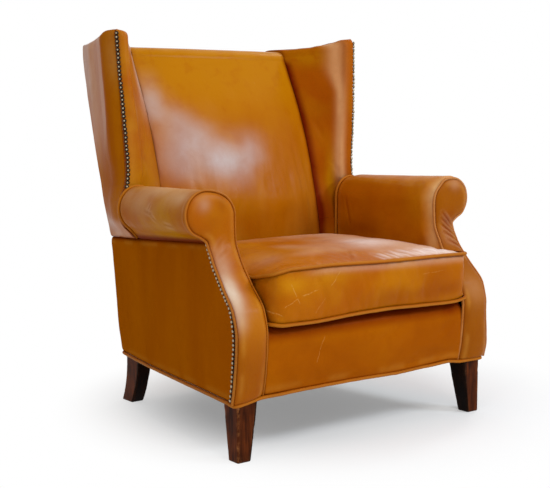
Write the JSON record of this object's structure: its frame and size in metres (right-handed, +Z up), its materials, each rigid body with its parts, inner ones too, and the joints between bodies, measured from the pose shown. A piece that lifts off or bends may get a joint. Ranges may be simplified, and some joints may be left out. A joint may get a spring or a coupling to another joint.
{
  "type": "worn leather club chair",
  "caption": "Winged club chair in worn tan leather with scrolled arms, a loose seat cushion, welted seams, nail trim and tapered wooden legs.",
  "frame": {"origin": "on the floor, at the middle of the chair's width and depth", "axes": "+X to the chair's right side as seen from the front, +Y from the front of the seat towards the back, +Z up"},
  "size_m": [0.9226, 0.8159, 0.9997],
  "materials": {
    "leather": "aniline-waxed tan leather, burnished and scuffed, paler on crowns and darker in recesses",
    "leather_welt": "leather-covered cord welt, rubbed pale on its crown",
    "deck_cloth": "black upholstery cloth, matt",
    "leg_wood": "dark mahogany stain, satin, chipped at the edges",
    "frame_wood": "plain sawn hardwood",
    "spring_steel": "oiled spring wire",
    "nail_brass": "antiqued domed nail heads, dark with bright crowns"
  },
  "bodies": {
    "root": {"arm_facing_left": "leather", "arm_facing_right": "leather", "arm_nails_left": "nail_brass", "arm_nails_right": "nail_brass", "arm_pad_left": "leather", "arm_pad_right": "leather", "arm_rail_left": "frame_wood", "arm_rail_right": "frame_wood", "arm_stump_left": "frame_wood", "arm_stump_right": "frame_wood", "back_post_left": "frame_wood", "back_post_right": "frame_wood", "back_rail": "frame_wood", "back_spring_1": "spring_steel", "back_spring_2": "spring_steel", "back_spring_3": "spring_steel", "base_welt": "leather_welt", "corner_block_back_left": "frame_wood", "corner_block_back_right": "frame_wood", "corner_block_front_left": "frame_wood", "corner_block_front_right": "frame_wood", "crest_rail": "frame_wood", "cushion_welt_lower": "leather_welt", "cushion_welt_upper": "leather_welt", "dust_cover": "deck_cloth", "facing_welt_left": "leather_welt", "facing_welt_right": "leather_welt", "front_border": "leather", "front_rail": "frame_wood", "inside_back": "leather", "inside_wing_left": "leather", "inside_wing_right": "leather", "leg_back_left": "leg_wood", "leg_back_right": "leg_wood", "leg_front_left": "leg_wood", "leg_front_right": "leg_wood", "lower_back_rail": "frame_wood", "outside_arm_left": "leather", "outside_arm_right": "leather", "outside_back": "leather", "outside_wing_left": "leather", "outside_wing_right": "leather", "seat_cushion": "leather", "seat_deck": "deck_cloth", "seat_spring_1": "spring_steel", "seat_spring_2": "spring_steel", "seat_spring_3": "spring_steel", "seat_spring_4": "spring_steel", "seat_spring_5": "spring_steel", "side_rail_left": "frame_wood", "side_rail_right": "frame_wood", "wing_nails_left": "nail_brass", "wing_nails_right": "nail_brass", "wing_post_left": "frame_wood", "wing_post_right": "frame_wood", "wing_top_rail_left": "frame_wood", "wing_top_rail_right": "frame_wood", "wing_welt_left": "leather_welt", "wing_welt_right": "leather_welt"}
  },
  "joints": []
}
